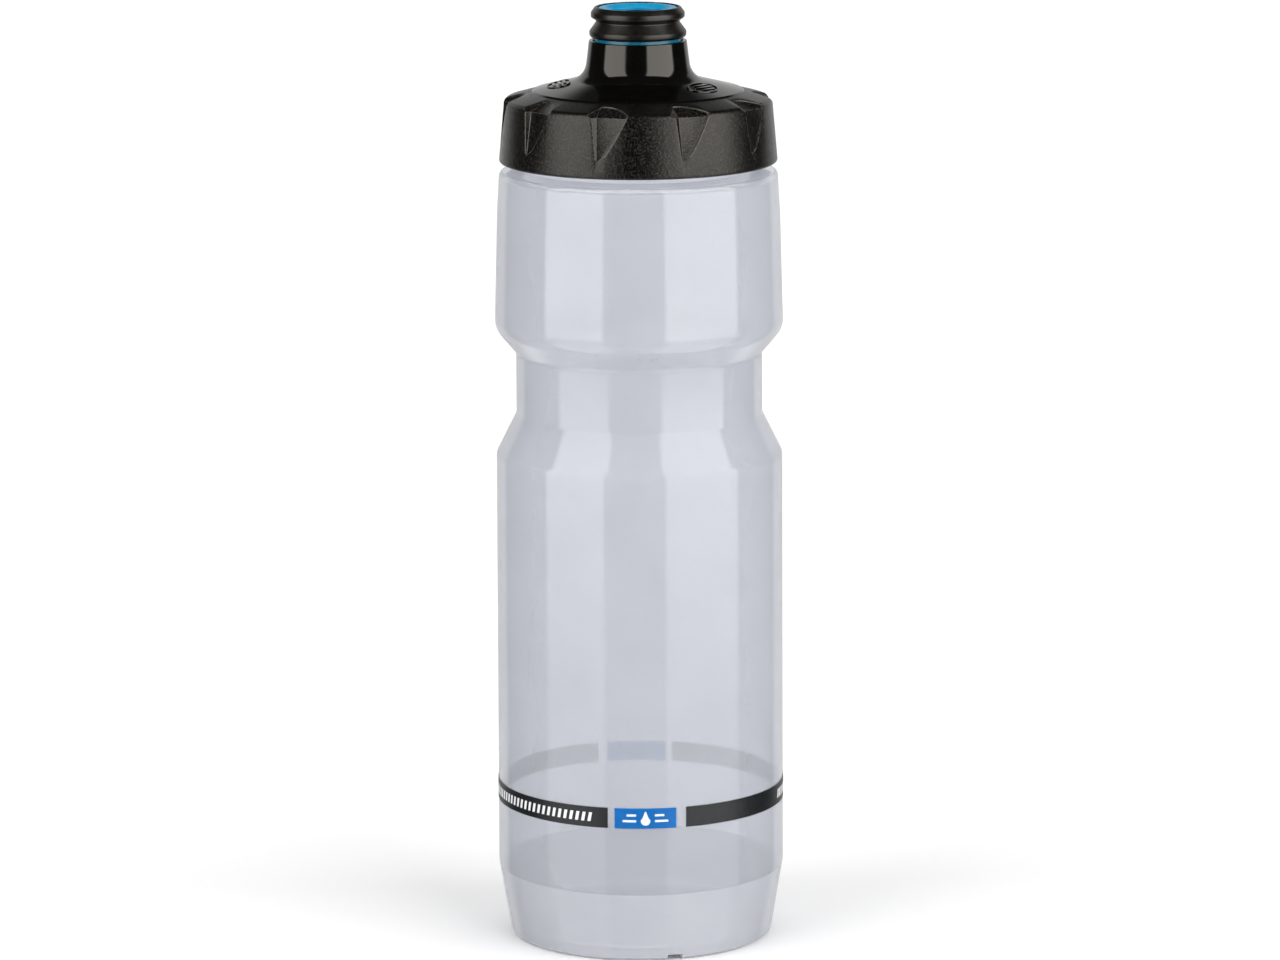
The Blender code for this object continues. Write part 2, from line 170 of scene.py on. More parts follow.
# Grip notches. The apex is (radius, height, azimuth) and the other points are (radius, azimuth), with
# azimuths from the notch's own direction. At the bend the scoop turns into a shallow shelf, which ends at
# the back, a small step below the deck.
NOTCH_COUNT = 10
NOTCH_AZIMUTH = 18.0
NOTCH_APEX = (35.0, 206.0, 0.5)
NOTCH_BEND_Z = 217.0
NOTCH_BEND_SIDES = ((37.5, -6.1), (38.5, 24.7))
NOTCH_BEND = ((33.1, -0.3), (32.9, 7.2), (34.4, 13.6))
NOTCH_BACK_SIDES = ((37.5, -2.9), (38.0, 17.0))
NOTCH_BACK = ((28.9, -0.6), (28.4, 8.4), (34.2, 14.0))
NOTCH_OUTER = (45.0, 9.0)
NOTCH_BACK_STEP = 0.35
NOTCH_CLEAR_Z = 222.0
NOTCH_STEPS = 12
LID_EDGE = 0.16

# ---- emblems on the deck: half size along and across the radius, and each bar's place and half length
EMBLEM_AZIMUTHS = (-84, 55)
EMBLEM_R = 20.4
EMBLEM_SIZE = (3.0, 5.4)
EMBLEM_BARS = ((-1.3, 3.0), (0.0, 3.7), (1.3, 3.0))
EMBLEM_STEPS = 72
EMBLEM_INNER = 0.9
EMBLEM_LIFT = 0.15
EMBLEM_SUNK = 0.3
EMBLEM_EDGE = 0.06
BAR_HALF_WIDTH = 0.35

# ---- nozzle
CORE_BOTTOM = 218.9
CORE_FLANGE_R = 11.6
SEAL_GROOVE = (220.2, 222.2)
SEAL_GROOVE_R = 10.4
SEAL_R = 11.75
SEAL_GAP = 0.15
STOP_BEAD_R = 11.8
STOP_BEAD_TOP = 223.5
CORE_NECK_R = 11.05
CORE_STEP_Z = 234.3
CORE_WAIST_R = 9.2
CORE_HEAD_R = 10.0
CORE_HEAD_Z = 239.6
CORE_TOP = 240.2
CORE_BORE_R = 8.3
VALVE_SEAT = (226.0, 227.8)
VALVE_SEAT_R = 5.2
LEDGE = (237.6, 238.4)
LEDGE_R = 7.0
SMALL_GAP = 0.3
GRIP_BOTTOM = 233.6
GRIP_LOWER_R = 12.35
GRIP_LOWER_Z = 234.6
GRIP_GROOVE_R = 10.5
GRIP_GROOVE_Z = 237.8
GRIP_UPPER_R = 11.95
GRIP_UPPER_Z = 239.4
GRIP_TOP = 241.4
GRIP_TOP_R = 10.9
MEMBRANE_THICK = 0.7
MEMBRANE_DIP = 1.0
MEMBRANE_GAP = 0.25
SLIT_LENGTH = 8.0
SLIT_WIDTH = 0.25
RING_TOP = 241.2
RING_INNER_R = 7.2
PIN_R = 2.6
PIN_HEAD_R = 4.9
PIN_HEAD = (226.1, 228.2)
PIN_HUB_R = 3.4
PLUG_RING = (213.6, 216.6)
PLUG_RING_R = BORE_R - SMALL_GAP
PLUG_RING_WALL = 1.4
SPOKE_COUNT = 3
SPOKE_WIDTH = 2.2

# ---- print on the body: azimuths in degrees from the front, heights in millimetres
BAND_Z = (35.6, 40.9)
BAND_ARC = (18.1, 166.8)
BADGE_ARC = (-10.5, 14.1)
TICK_ARC = (72.0, 162.0)
TICK_STEP = 2.7
TICK_WIDTH = 1.3
TICK_SLANT = 0.7
TICK_Z = (37.1, 39.4)
DROP_MARGIN = 0.8
DROP_HALF = 0.33
DROP_BELLY = 0.36
DROP_TIP = 0.004
# Dashes beside the drop: bottom and length.
DASHES = ((37.3, 3.4), (38.8, 2.4))
DASH_GAP = 2.4
DASH_THICK = 0.55
DEGREES_PER_MM = 360 / (TURN * BODY_R)
INK_LIFT = 0.05
INK_THICK = 0.04


# ---- meshes

def deck_height(radius):
    """Height of the lid's conical deck at a radius."""
    return DECK_APEX_Z - DECK_SLOPE * radius


def on_body(azimuth, radius, height):
    """A point at an azimuth in degrees from -Y towards +X, in metres."""
    angle = math.radians(azimuth)
    return Vector((radius * math.sin(angle), -radius * math.cos(angle), height)) * MM


def turned_to(angle, radius, height):
    """A point at an angle in radians from +X, in metres."""
    return Vector((radius * math.cos(angle), radius * math.sin(angle), height)) * MM


def rounded(corners, steps=CORNER_STEPS):
    """Return the (radius, height) points of a closed outline, each corner rounded to its own radius."""
    points = []
    for index, (radius, height, fillet) in enumerate(corners):
        here = Vector((radius, height))
        if fillet <= 0:
            points.append(here)
            continue
        to_last = (Vector(corners[index - 1][:2]) - here).normalized()
        to_next = (Vector(corners[(index + 1) % len(corners)][:2]) - here).normalized()
        half = to_last.angle(to_next) / 2
        centre = here + (to_last + to_next).normalized() * fillet / math.sin(half)
        spoke = here + to_last * fillet / math.tan(half) - centre
        sweep = math.pi - 2 * half
        if to_last.cross(to_next) > 0:
            sweep = -sweep
        for step in range(steps + 1):
            turn = Matrix.Rotation(sweep * step / steps, 2)
            points.append(centre + turn @ spoke)
    return points


def shade(mesh, angle=SMOOTH_ANGLE):
    """Shade a mesh smooth, except at edges sharper than an angle."""
    mesh.shade_smooth()
    mesh.set_sharp_from_angle(angle=math.radians(angle))


def new_object(name, mesh_data):
    """Turn a bmesh, in metres, into an object with outward faces and smooth shading."""
    bmesh.ops.recalc_face_normals(mesh_data, faces=mesh_data.faces)
    mesh = bpy.data.meshes.new(name)
    mesh_data.to_mesh(mesh)
    mesh_data.free()
    shade(mesh)
    piece = bpy.data.objects.new(name, mesh)
    bpy.context.scene.collection.objects.link(piece)
    return piece


def bridge(mesh_data, last, following):
    """Join two loops of equally many vertices by a ring of faces."""
    for side in range(len(last)):
        after = (side + 1) % len(last)
        mesh_data.faces.new([last[side], last[after], following[after], following[side]])


def turned(name, corners, facets, steps=CORNER_STEPS):
    """Turn a closed outline about Z. A point on the axis becomes a single vertex."""
    mesh_data = bmesh.new()
    rings = []
    for radius, height in rounded(corners, steps):
        on_axis = radius < ON_AXIS
        ring = [mesh_data.verts.new(turned_to(TURN * index / facets, radius, height))
                for index in range(1 if on_axis else facets)]
        rings.append(ring * facets if on_axis else ring)
    for lower, upper in zip(rings, rings[1:] + rings[:1]):
        for index in range(facets):
            after = (index + 1) % facets
            face = list(dict.fromkeys([lower[index], lower[after], upper[after], upper[index]]))
            if len(face) > 2:
                mesh_data.faces.new(face)
    return new_object(name, mesh_data)


def helix_ridge(name, root_r, crest_r, start_angle, turns, facets):
    """Make a right-handed thread ridge that fades into its wall at both ends."""
    outward = 1 if crest_r > root_r else -1
    sunk_r = root_r - outward * THREAD_SINK
    start_r = root_r - outward * THREAD_SINK / 2
    half_root = THREAD_ROOT_WIDTH / 2
    half_crest = THREAD_CREST_WIDTH / 2
    fade_steps = THREAD_FADE_TURN * facets
    steps = round(turns * facets)
    mesh_data = bmesh.new()
    sections = []
    for step in range(steps + 1):
        share = min(1, step / fade_steps, (steps - step) / fade_steps)
        fade = share * share * (3 - 2 * share)
        top_r = start_r + (crest_r - start_r) * fade
        turned_by = (step + 0.5) / facets
        angle = start_angle + TURN * turned_by
        middle = NECK_THREAD_Z + PITCH * turned_by
        outline = (
            (sunk_r, middle - half_root),
            (top_r, middle - half_crest),
            (top_r, middle + half_crest),
            (sunk_r, middle + half_root),
        )
        sections.append([mesh_data.verts.new(turned_to(angle, radius, height)) for radius, height in outline])
    for last, following in zip(sections, sections[1:]):
        bridge(mesh_data, last, following)
    mesh_data.faces.new(sections[0])
    mesh_data.faces.new(sections[-1])
    return new_object(name, mesh_data)


def boxes(name, places, size):
    """Make equal boxes, one for each matrix, in a single object. Size is in millimetres."""
    mesh_data = bmesh.new()
    for place in places:
        shape = bmesh.ops.create_cube(mesh_data, size=MM)
        bmesh.ops.scale(mesh_data, vec=size, verts=shape["verts"])
        bmesh.ops.transform(mesh_data, matrix=place, verts=shape["verts"])
    return new_object(name, mesh_data)


def placed(azimuth, radius, height):
    """Matrix of a place at an azimuth from -Y towards +X, in degrees, with its Y axis pointing inwards."""
    turn = Matrix.Rotation(math.radians(azimuth), 4, "Z")
    return turn @ Matrix.Translation(Vector((0, -radius, height)) * MM)


def combine(piece, forms):
    """Apply a list of (solid, operation) pairs to a piece, and remove the solids."""
    for form, operation in forms:
        modifier = piece.modifiers.new(form.name, "BOOLEAN")
        modifier.operation = operation
        modifier.solver = "EXACT"
        modifier.object = form
    bake(piece)
    for form, _ in forms:
        bpy.data.objects.remove(form)


def bake(piece, angle=SMOOTH_ANGLE):
    """Replace a piece's mesh by the result of its modifiers."""
    depsgraph = bpy.context.evaluated_depsgraph_get()
    mesh = bpy.data.meshes.new_from_object(piece.evaluated_get(depsgraph))
    piece.modifiers.clear()
    piece.data = mesh
    shade(mesh, angle)


def soften(piece, width, slot=-1):
    """Round a piece's sharp edges by a small bevel, which may take a material slot of its own.

    The bevel isn't clamped, because one short edge would then make it vanish everywhere.
    """
    bevel = piece.modifiers.new("soft_edges", "BEVEL")
    bevel.width = width * MM
    bevel.segments = BEVEL_SEGMENTS
    bevel.limit_method = "ANGLE"
    bevel.angle_limit = math.radians(SMOOTH_ANGLE)
    bevel.use_clamp_overlap = False
    bevel.material = slot
    bake(piece, BEVELLED_ANGLE)


def face_place(face):
    """A face's distance from the axis and its height, in millimetres."""
    return math.hypot(face.center.x, face.center.y) / MM, face.center.z / MM


def upright(first, last, turn=0):
    """Edges of an ink patch that stands upright between two azimuths."""
    return lambda share: (first + turn, last + turn)


def slanted(start, width, slant):
    """Edges of an ink patch that leans by an angle over its height."""
    return lambda share: (start + slant * share, start + width + slant * share)


def ink_patch(mesh_data, edges, heights, columns, rows, lift=INK_LIFT):
    """Add a thin closed patch of ink on the lower body.

    The function edges gives its two azimuths at a share of its height, from 0 at the bottom to 1 at the top.
    """
    low, high = heights
    skins = []
    for level in (lift, lift + INK_THICK):
        skin = []
        for row in range(rows + 1):
            share = row / rows
            height = low + (high - low) * share
            first, last = edges(share)
            line = []
            for column in range(columns + 1):
                azimuth = first + (last - first) * column / columns
                line.append(mesh_data.verts.new(on_body(azimuth, BODY_R + level, height)))
            skin.append(line)
        skins.append(skin)
    inner, outer = skins
    for row in range(rows):
        for column in range(columns):
            for skin in skins:
                below, above = skin[row], skin[row + 1]
                mesh_data.faces.new([below[column], below[column + 1], above[column + 1], above[column]])
    for column in range(columns):
        for row in (0, rows):
            mesh_data.faces.new([inner[row][column], inner[row][column + 1],
                                 outer[row][column + 1], outer[row][column]])
    for row in range(rows):
        for column in (0, columns):
            mesh_data.faces.new([inner[row][column], inner[row + 1][column],
                                 outer[row + 1][column], outer[row][column]])


# ---- material nodes

def principled(name, **values):
    """Make a Principled material and return it with its shader and node tree."""
    material = bpy.data.materials.new(name)
    material.use_nodes = True
    tree = material.node_tree
    shader = tree.nodes["Principled BSDF"]
    for key, value in values.items():
        shader.inputs[key.replace("_", " ")].default_value = value
    return material, shader, tree


def noise(tree, scale, detail=2.0, roughness=0.5, stretch=(1, 1, 1)):
    """A noise pattern in object space, with its scale in cycles per metre."""
    place = tree.nodes.new("ShaderNodeTexCoord")
    mapping = tree.nodes.new("ShaderNodeMapping")
    mapping.inputs["Scale"].default_value = stretch
    tree.links.new(place.outputs["Object"], mapping.inputs["Vector"])
    pattern = tree.nodes.new("ShaderNodeTexNoise")
    pattern.inputs["Scale"].default_value = scale
    pattern.inputs["Detail"].default_value = detail
    pattern.inputs["Roughness"].default_value = roughness
    tree.links.new(mapping.outputs["Vector"], pattern.inputs["Vector"])
    return pattern.outputs["Fac"]


def ramp(tree, source, first, last, start=0.3, end=0.7):
    """A colour that runs from first to last as source goes from start to end."""
    node = tree.nodes.new("ShaderNodeValToRGB")
    node.color_ramp.elements[0].position = start
    node.color_ramp.elements[0].color = (*first, 1)
    node.color_ramp.elements[1].position = end
    node.color_ramp.elements[1].color = (*last, 1)
    tree.links.new(source, node.inputs["Fac"])
    return node.outputs["Color"]


def spread(tree, source, low, high, start=0.3, end=0.7, interpolation="LINEAR"):
    """A number that runs from low to high as source goes from start to end."""
    node = tree.nodes.new("ShaderNodeMapRange")
    node.interpolation_type = interpolation
    node.inputs["From Min"].default_value = start
    node.inputs["From Max"].default_value = end
    node.inputs["To Min"].default_value = low
    node.inputs["To Max"].default_value = high
    tree.links.new(source, node.inputs["Value"])
    return node.outputs["Result"]


def bump(tree, shader, source, strength, distance_mm):
    """Press a pattern into a shader's normal."""
    node = tree.nodes.new("ShaderNodeBump")
    node.inputs["Strength"].default_value = strength
    node.inputs["Distance"].default_value = distance_mm * MM
    tree.links.new(source, node.inputs["Height"])
    tree.links.new(node.outputs["Normal"], shader.inputs["Normal"])


def milky_material(name, dark, light, roughness, clear, **more):
    """Milky squeeze plastic, slightly uneven in tone. clear is the share of light that it lets through."""
    material, shader, tree = principled(name, Roughness=roughness, IOR=PLASTIC_IOR,
                                        Transmission_Weight=clear, **more)
    cloud = noise(tree, 60, 3)
    tree.links.new(ramp(tree, cloud, dark, light), shader.inputs["Base Color"])
    return material, shader, tree


def body_material():
    """The wall: clear enough to show the far side, with a faintly wavy moulded skin."""
    material, shader, tree = milky_material("milky_plastic", (0.812, 0.83, 0.882), (0.845, 0.862, 0.905),
                                            0.06, 0.73)
    waves = noise(tree, 45, 1, stretch=(1, 1, 0.35))
    bump(tree, shader, waves, 0.12, 0.5)
    return material


def neck_painted_light_material():
    """The neck and thread, with painted light against the lid's shade: a lighter tone, and a faint glow that
    stands in for light scattered inside the plastic under the lid.
    """
    # painted light: a lighter base colour and a faint emission lift the shade under the lid
    return milky_material("milky_neck_painted_light", (0.93, 0.94, 0.975), (0.96, 0.965, 0.99), 0.12, 0.9,
                          Emission_Color=(0.88, 0.91, 1.0, 1), Emission_Strength=0.13)[0]


def foot_material():
    """The tapered base, which is thick and cloudy."""
    return milky_material("milky_foot", (0.60, 0.615, 0.67), (0.63, 0.645, 0.69), 0.12, 0.4)[0]


def grained_material():
    """Black moulded skirt with a fine spark-eroded grain."""
    material, shader, tree = principled("grained_black", IOR=1.40, Specular_Tint=WARM)
    grain = noise(tree, 1900, 3, 0.65)
    patches = noise(tree, 500, 2)
    tree.links.new(ramp(tree, grain, (0.0006, 0.0006, 0.0004), (0.0240, 0.0220, 0.0190), 0.46, 0.70),
                   shader.inputs["Base Color"])
    tree.links.new(spread(tree, patches, 0.20, 0.26), shader.inputs["Roughness"])
    bump(tree, shader, grain, 0.7, 0.12)
    return material


def wear_and_sheen_material():
    """The skirt's edges, rubbed a little smoother by hands, and lighter partly from wear and partly as a
    painted highlight along them.
    """
    material, shader, tree = principled("worn_black_and_sheen", Specular_Tint=WARM)
    wear = noise(tree, 900, 3, 0.7)
    # partly wear, partly painted highlight: the edges' black is lighter than the skirt's
    tree.links.new(ramp(tree, wear, (0.006, 0.0056, 0.0050), (0.050, 0.047, 0.042), 0.35, 0.72),
                   shader.inputs["Base Color"])
    tree.links.new(spread(tree, wear, 0.22, 0.34), shader.inputs["Roughness"])
    return material


def satin_material():
    """Black rim of the deck, smoother than the skirt."""
    material, shader, tree = principled("satin_black", Specular_Tint=WARM)
    grain = noise(tree, 1800, 2)
    tree.links.new(ramp(tree, grain, (0.0010, 0.0010, 0.0008), (0.0032, 0.0030, 0.0026)),
                   shader.inputs["Base Color"])
    tree.links.new(spread(tree, grain, 0.26, 0.36), shader.inputs["Roughness"])
    bump(tree, shader, grain, 0.3, 0.05)
    return material


def gloss_material():
    """Polished black of the deck's disc and the tower, with faint handling haze."""
    material, shader, tree = principled("gloss_black", Specular_Tint=WARM)
    haze = noise(tree, 160, 4, 0.6)
    tree.links.new(ramp(tree, haze, (0.0008, 0.0008, 0.0006), (0.0020, 0.0019, 0.0016)),
                   shader.inputs["Base Color"])
    tree.links.new(spread(tree, haze, 0.06, 0.12), shader.inputs["Roughness"])
    bump(tree, shader, noise(tree, 90, 2), 0.12, 0.12)
    return material


def rubber_material(name, dark, light, low, high, tint=(1, 1, 1, 1)):
    """Soft rubber with a fine bloom."""
    material, shader, tree = principled(name, Specular_Tint=tint)
    bloom = noise(tree, 900, 3, 0.6)
    tree.links.new(ramp(tree, bloom, dark, light), shader.inputs["Base Color"])
    tree.links.new(spread(tree, bloom, low, high), shader.inputs["Roughness"])
    bump(tree, shader, noise(tree, 1500, 2), 0.25, 0.04)
    return material


def ink_material(name, dark, light, clear=0.0):
    """Screen-printed ink: slightly uneven cover and a satin face, letting a share of the light through."""
    material, shader, tree = principled(name, Transmission_Weight=clear, IOR=1.4)
    cover = noise(tree, 500, 4, 0.7)
    tree.links.new(ramp(tree, cover, dark, light), shader.inputs["Base Color"])
    tree.links.new(spread(tree, cover, 0.30, 0.42), shader.inputs["Roughness"])
    return material


def finish(piece, material, body, slot, *nodes):
    """Give a piece its material, body and the CAD nodes it stands for. The slot argument is not used."""
    piece.data.materials.clear()
    piece.data.materials.append(material)
    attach(piece, body)
    if nodes:
        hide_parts(*nodes)


# ---- body and its print

def body_corners():
    """Closed outline of the squeeze body, from the centre of the base up the outside and down the inside."""
    neck_inner = NECK_R - NECK_WALL
    recess_r = FOOT_R - FOOT_FLAT
    floor = BASE_RECESS + FLOOR_THICK
    outside = [
        (0, BASE_RECESS, 0),
        (recess_r - RECESS_BEVEL, BASE_RECESS, 1.0),
        (recess_r, 0, 0.5),
        (FOOT_R, 0, 1.2),
        (BODY_R, BASE_TAPER_TOP, 8.0),
        (LOWER_TOP_R, GROOVE_BOTTOM, 4.0),
        (WAIST_R, WAIST_BOTTOM, 2.0),
        (WAIST_R, WAIST_TOP, 2.0),
        (BODY_R, GROOVE_TOP, 6.0),
        (UPPER_MID_R, UPPER_MID, 60.0),
        (SHOULDER_R, SHOULDER_Z, 1.4),
        (NECK_R, NECK_FOOT_Z, 0.8),
        (NECK_R, NECK_TOP, 0.5),
    ]
    inside = [
        (neck_inner, NECK_TOP, 0.5),
        (neck_inner, NECK_FOOT_Z - WALL, 1.5),
        (SHOULDER_R - WALL, SHOULDER_Z - WALL, 1.0),
        (UPPER_MID_R - WALL, UPPER_MID, 50.0),
        (BODY_R - WALL, GROOVE_TOP, 4.8),
        (WAIST_R - WALL, WAIST_TOP, 3.2),
        (WAIST_R - WALL, WAIST_BOTTOM, 3.2),
        (LOWER_TOP_R - WALL, GROOVE_BOTTOM, 2.8),
        (BODY_R - WALL, BASE_TAPER_TOP, 6.8),
        (FOOT_R - WALL + FLOOR_SPREAD, floor, 2.5),
        (0, floor, 0),
    ]
    return outside + inside


def paint_body(body):
    """Neck plastic with painted light, lighter and faintly glowing against the lid's shade, from just inside
    the shoulder's rim; cloudier plastic in the tapered base.
    """
    neck_z = SHOULDER_Z - 0.2
    neck_r = SHOULDER_R - 0.8
    foot_z = BASE_TAPER_TOP - 1
    for face in body.data.polygons:
        radius, height = face_place(face)
        # the neck faces take the painted light of the neck material
        if height > neck_z and radius < neck_r:
            face.material_index = NECK_SLOT
        elif height < foot_z:
            face.material_index = FOOT_SLOT


def make_body():
    """The squeeze body with its neck thread and two vents through the foot ring."""
    body = turned("squeeze_body", body_corners(), BODY_FACETS)
    thread = helix_ridge("neck_thread_form", NECK_R, NECK_R + THREAD_DEPTH, 0,
                         NECK_THREAD_TURNS, BODY_FACETS)
    # The vents' cutters reach past the foot ring on both sides, and as far below it as above.
    places = [placed(VENT_AZIMUTH + turn, FOOT_R - FOOT_FLAT / 2, 0) for turn in (0, 180)]
    vents = boxes("foot_vent_form", places, (VENT_WIDTH, FOOT_FLAT * 2.5, VENT_HEIGHT * 2))
    combine(body, [(thread, "UNION"), (vents, "DIFFERENCE")])
    finish(body, body_material(), "bottle", "translucent_body", "bottle_body")
    body.data.materials.append(neck_painted_light_material())
    body.data.materials.append(foot_material())
    paint_body(body)


def make_band():
    """The printed band: two black arcs and two blue badges, the same front and back."""
    black = bmesh.new()
    blue = bmesh.new()
    for turn in (0, 180):
        ink_patch(black, upright(*BAND_ARC, turn), BAND_Z, columns=100, rows=2)
        ink_patch(blue, upright(*BADGE_ARC, turn), BAND_Z, columns=18, rows=2)
    arcs = new_object("band_arcs", black)
    black_ink = ink_material("black_ink", (0.005, 0.007, 0.008), (0.010, 0.012, 0.013))
    finish(arcs, black_ink, "bottle", "black_plug")
    badges = new_object("band_badges", blue)
    blue_ink = ink_material("blue_ink", (0.001, 0.28, 0.78), (0.002, 0.31, 0.84), 0.7)
    finish(badges, blue_ink, "bottle", "blue_ring")


def drop_half_width(share):
    """Half width of a water drop, as a share of its height, from its round bottom to its pointed top."""
    if share < DROP_BELLY:
        return DROP_HALF * math.sqrt(max(0.0, 1 - ((DROP_BELLY - share) / DROP_BELLY) ** 2))
    rest = (share - DROP_BELLY) / (1 - DROP_BELLY)
    return DROP_HALF * (1 - rest) ** 0.8 * (1 - 0.25 * math.sin(math.pi * rest))


def drop_edges(centre, size):
    """Edges of an ink patch in the shape of a water drop."""
    def edges(share):
        half = size * max(DROP_TIP, drop_half_width(share))
        return centre - half, centre + half
    return edges


def make_motif():
    """White print: slanted ticks along each black arc, and a drop between four dashes on each badge."""
    mesh_data = bmesh.new()
    lift = INK_LIFT + INK_THICK
    tick_count = int((TICK_ARC[1] - TICK_ARC[0]) / TICK_STEP)
    drop_z = (BAND_Z[0] + DROP_MARGIN, BAND_Z[1] - DROP_MARGIN)
    drop_size = (drop_z[1] - drop_z[0]) * DEGREES_PER_MM
    for turn in (0, 180):
        for index in range(tick_count):
            start = TICK_ARC[0] + turn + index * TICK_STEP
            ink_patch(mesh_data, slanted(start, TICK_WIDTH, TICK_SLANT), TICK_Z, 2, 2, lift)
        centre = sum(BADGE_ARC) / 2 + turn
        ink_patch(mesh_data, drop_edges(centre, drop_size), drop_z, 4, 24, lift)
        for side in (-1, 1):
            for bottom, length in DASHES:
                near = centre + side * DASH_GAP * DEGREES_PER_MM
                far = centre + side * (DASH_GAP + length) * DEGREES_PER_MM
                heights = (bottom, bottom + DASH_THICK)
                ink_patch(mesh_data, upright(min(near, far), max(near, far)), heights, 6, 1, lift)
    motif = new_object("band_motif", mesh_data)
    white_ink = ink_material("white_ink", (0.72, 0.73, 0.74), (0.80, 0.81, 0.82))
    finish(motif, white_ink, "bottle", "seal_silicone")


# ---- lid

def lid_corners():
    """Closed outline of the lid, up the skirt, over the deck and tower, and back down its inside."""
    root_r = NECK_R + THREAD_DEPTH + FIT_GAP
    plug_inner = PLUG_WALL_R - PLUG_WALL
    return [
        (root_r + 0.6, LID_BOTTOM, 0.15),
        (SKIRT_BOTTOM_R, LID_BOTTOM, 0.7),
        (SKIRT_TOP_R, deck_height(SKIRT_TOP_R), 1.6),
        (DISC_R + 0.5, deck_height(DISC_R + 0.5), 0.5),
        (DISC_R, deck_height(DISC_R) + DISC_STEP, 0.4),
        (TOWER_FOOT_R, deck_height(TOWER_FOOT_R) + DISC_STEP / 2, TOWER_FLARE),
        (TOWER_RIM_R, TOWER_TOP, 0.3),
        (STOP_LIP_R, TOWER_TOP, 0.3),
        (STOP_LIP_R, STOP_LIP_BOTTOM, 0),
        (BORE_R, STOP_LIP_BOTTOM, 0),
        (BORE_R, TUBE_BOTTOM, 0.2),
        (TUBE_R, TUBE_BOTTOM, 0.2),
        (TUBE_R, deck_height(TUBE_R) - DECK_THICK, 0.5),
        (plug_inner, deck_height(plug_inner) - DECK_THICK, 0.5),
        (plug_inner, PLUG_WALL_BOTTOM, 0.3),
        (PLUG_WALL_R, PLUG_WALL_BOTTOM, 0.5),
        (PLUG_WALL_R, SEAT_Z, 0.2),
        (root_r, SEAT_Z, 0.2),
        (root_r, LID_BOTTOM + 0.8, 0),
    ]


def notch_outline(sides, ends, height):
    """A notch's outline at one level: a curve in the lid between two points outside, closed further out."""
    first, middle, last = (on_body(turn, radius, 0) for radius, turn in ends)
    start, end, outer = (on_body(turn, radius, 0) for radius, turn in (*sides, NOTCH_OUTER))
    points = []
    for step in range(NOTCH_STEPS + 1):
        share = step / NOTCH_STEPS
        place = first * (1 - share) ** 2 + middle * 2 * share * (1 - share) + last * share ** 2
        points.append(Vector((place.x, place.y, height(place.length / MM) * MM)))
    start.z = points[0].z
    end.z = outer.z = points[-1].z
    return [start] + points + [end, outer]


def notch_form():
    """One cutter for each notch: a scoop from a low apex, a shelf at the deck, and a low step at the back."""
    apex_r, apex_z, apex_turn = NOTCH_APEX
    apex = on_body(apex_turn, apex_r, apex_z)
    outlines = [
        notch_outline(NOTCH_BEND_SIDES, NOTCH_BEND, lambda radius: NOTCH_BEND_Z),
        notch_outline(NOTCH_BACK_SIDES, NOTCH_BACK, lambda radius: deck_height(radius) - NOTCH_BACK_STEP),
        notch_outline(NOTCH_BACK_SIDES, NOTCH_BACK, lambda radius: NOTCH_CLEAR_Z),
    ]
    mesh_data = bmesh.new()
    for index in range(NOTCH_COUNT):
        turn = Matrix.Rotation(math.radians(NOTCH_AZIMUTH + index * 360 / NOTCH_COUNT), 3, "Z")
        lowest, middle, top = ([mesh_data.verts.new(turn @ point) for point in outline]
                               for outline in outlines)
        tip = mesh_data.verts.new(turn @ apex)
        for first, second in zip(lowest, lowest[1:] + lowest[:1]):
            mesh_data.faces.new([first, second, tip])
        for lower, upper in ((lowest, middle), (middle, top)):
            around = zip(lower, lower[1:] + lower[:1], upper, upper[1:] + upper[:1])
            for low, low_next, high, high_next in around:
                mesh_data.faces.new([low, low_next, high_next])
                mesh_data.faces.new([low, high_next, high])
        mesh_data.faces.new(top)
    bmesh.ops.triangulate(mesh_data, faces=[face for face in mesh_data.faces if len(face.verts) > 4])
    return new_object("lid_notch_form", mesh_data)


def paint_lid(lid):
    """Satin rim of the deck, and polished disc and tower. The skirt's softened edges keep their own slot."""
    disc_edge = DISC_R + 0.3
    deck_depth = 0.25
    upward = 0.6
    for face in lid.data.polygons:
        radius, height = face_place(face)
        on_deck = height > deck_height(radius) - deck_depth and face.normal.z > upward
        if height > deck_height(disc_edge) and radius < disc_edge:
            face.material_index = GLOSS_SLOT
        elif on_deck and radius > DISC_R:
            face.material_index = SATIN_SLOT


def make_lid():
    """The screw lid with its thread, its grip notches, softened edges and four finishes."""
    root_r = NECK_R + THREAD_DEPTH + FIT_GAP
    lid = turned("screw_lid", lid_corners(), LID_FACETS)
    # Half a turn further round at the same height puts the lid's ridge midway between the neck's.
    thread = helix_ridge("lid_thread_form", root_r, root_r - THREAD_DEPTH, math.pi,
                         LID_THREAD_TURNS, LID_FACETS)
    combine(lid, [(thread, "UNION"), (notch_form(), "DIFFERENCE")])
    lid.data.materials.clear()
    for material in (grained_material(), satin_material(), gloss_material(), wear_and_sheen_material()):
        lid.data.materials.append(material)
    soften(lid, LID_EDGE, WEAR_AND_SHEEN_SLOT)
    paint_lid(lid)
    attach(lid, "lid")
    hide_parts("lid_cap")


def make_gasket():
    """The flat seal between the neck's lip and the lid."""
    bottom, top = NECK_TOP + SMALL_GAP, SEAT_Z - SMALL_GAP
    inner, outer = PLUG_WALL_R + SMALL_GAP, NECK_R + THREAD_DEPTH
    corners = [(inner, bottom, 0.3), (outer, bottom, 0.3), (outer, top, 0.3), (inner, top, 0.3)]
    gasket = turned("lid_seal_ring", corners, BODY_FACETS, 3)
    material = rubber_material("clear_silicone", (0.60, 0.61, 0.62), (0.68, 0.69, 0.70), 0.42, 0.55)
    finish(gasket, material, "gasket", "seal_silicone", "lid_gasket")


